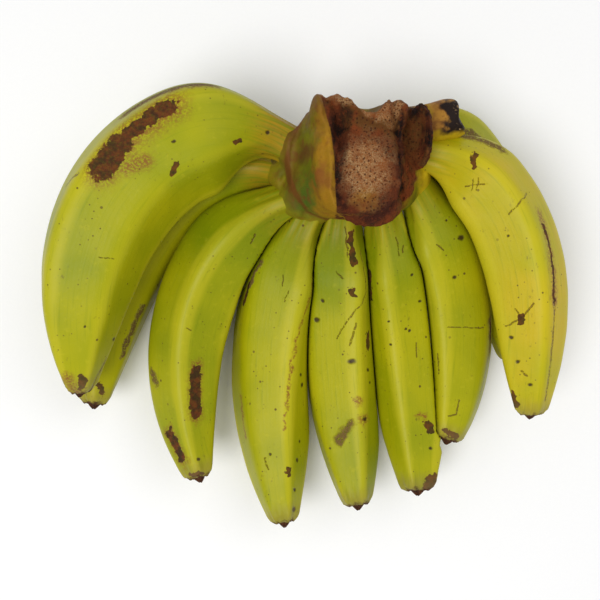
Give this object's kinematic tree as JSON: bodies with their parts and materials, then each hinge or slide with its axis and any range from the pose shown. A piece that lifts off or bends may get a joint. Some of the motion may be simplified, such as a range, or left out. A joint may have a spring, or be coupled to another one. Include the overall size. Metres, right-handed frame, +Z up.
{
  "type": "hand of bananas",
  "caption": "Hand of large green cooking bananas joined at its cut crown, lying on the backs of its fingers with their tips curling up.",
  "frame": {"origin": "middle of the base of the bounding box, on the surface that the hand lies on", "axes": "+Z up from that surface, +Y from the tips of the middle fingers towards the crown, +X across the fan of fingers"},
  "size_m": [0.2506, 0.218, 0.0914],
  "materials": {
    "green_skin": "smooth waxy yellow-green peel with brown scars and specks",
    "ripe_skin": "smooth waxy yellow peel with brown scars and specks",
    "crown": "dry fibrous brown cut stalk with green skin on its flanks"
  },
  "bodies": {
    "root": {"crown": "crown", "finger_1": "green_skin", "finger_2": "green_skin", "finger_3": "green_skin", "finger_4": "green_skin", "finger_5": "green_skin", "finger_6": "green_skin", "finger_7": "green_skin", "finger_8": "ripe_skin", "finger_9": "green_skin"}
  },
  "joints": []
}
